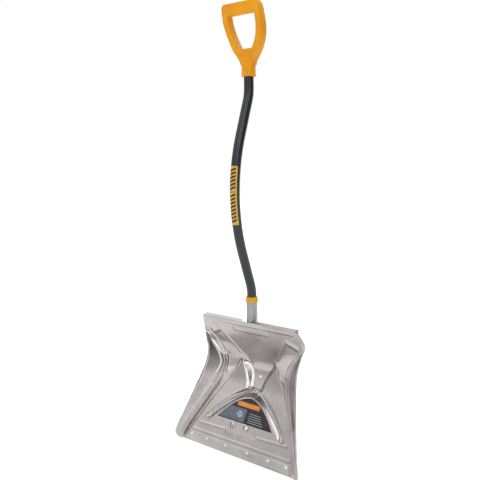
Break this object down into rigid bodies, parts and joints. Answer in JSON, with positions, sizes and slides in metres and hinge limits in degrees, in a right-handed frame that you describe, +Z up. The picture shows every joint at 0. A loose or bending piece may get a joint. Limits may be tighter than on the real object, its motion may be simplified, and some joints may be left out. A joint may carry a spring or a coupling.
{
  "type": "scoop snow shovel",
  "caption": "Upright snow shovel with a stamped aluminium scoop, fluted ferrule, bowed vinyl-covered handle and D-shaped hand grip.",
  "frame": {"origin": "middle of the hand grip's crossbar, which the shovel is held and hung by", "axes": "+Z up along the handle, away from the blade; +X across the blade; the scoop opens towards -Y"},
  "size_m": [0.4708, 0.1681, 1.326],
  "materials": {
    "grip_plastic": "satin moulded",
    "collar_plastic": "satin moulded",
    "rivet_metal": "bright",
    "tube_steel": "bare drawn tube",
    "sleeve_vinyl": "semi-gloss vinyl",
    "shaft_film": "printed film",
    "ferrule_metal": "bright, fluted",
    "blade_aluminium": "mill finish, stamped",
    "blade_film": "printed film",
    "strip_steel": "plated"
  },
  "bodies": {
    "root": {"d_grip": "grip_plastic", "grip_rivet": "rivet_metal", "shaft_tube": "tube_steel", "shaft_sleeve": "sleeve_vinyl", "shaft_label": "shaft_film", "socket_collar": "collar_plastic", "ferrule": "ferrule_metal", "ferrule_rivet": "rivet_metal", "blade": "blade_aluminium", "tongue_rivet": "rivet_metal", "blade_label": "blade_film", "wear_strip": "strip_steel", "wear_strip_rivets": "rivet_metal"}
  },
  "joints": []
}
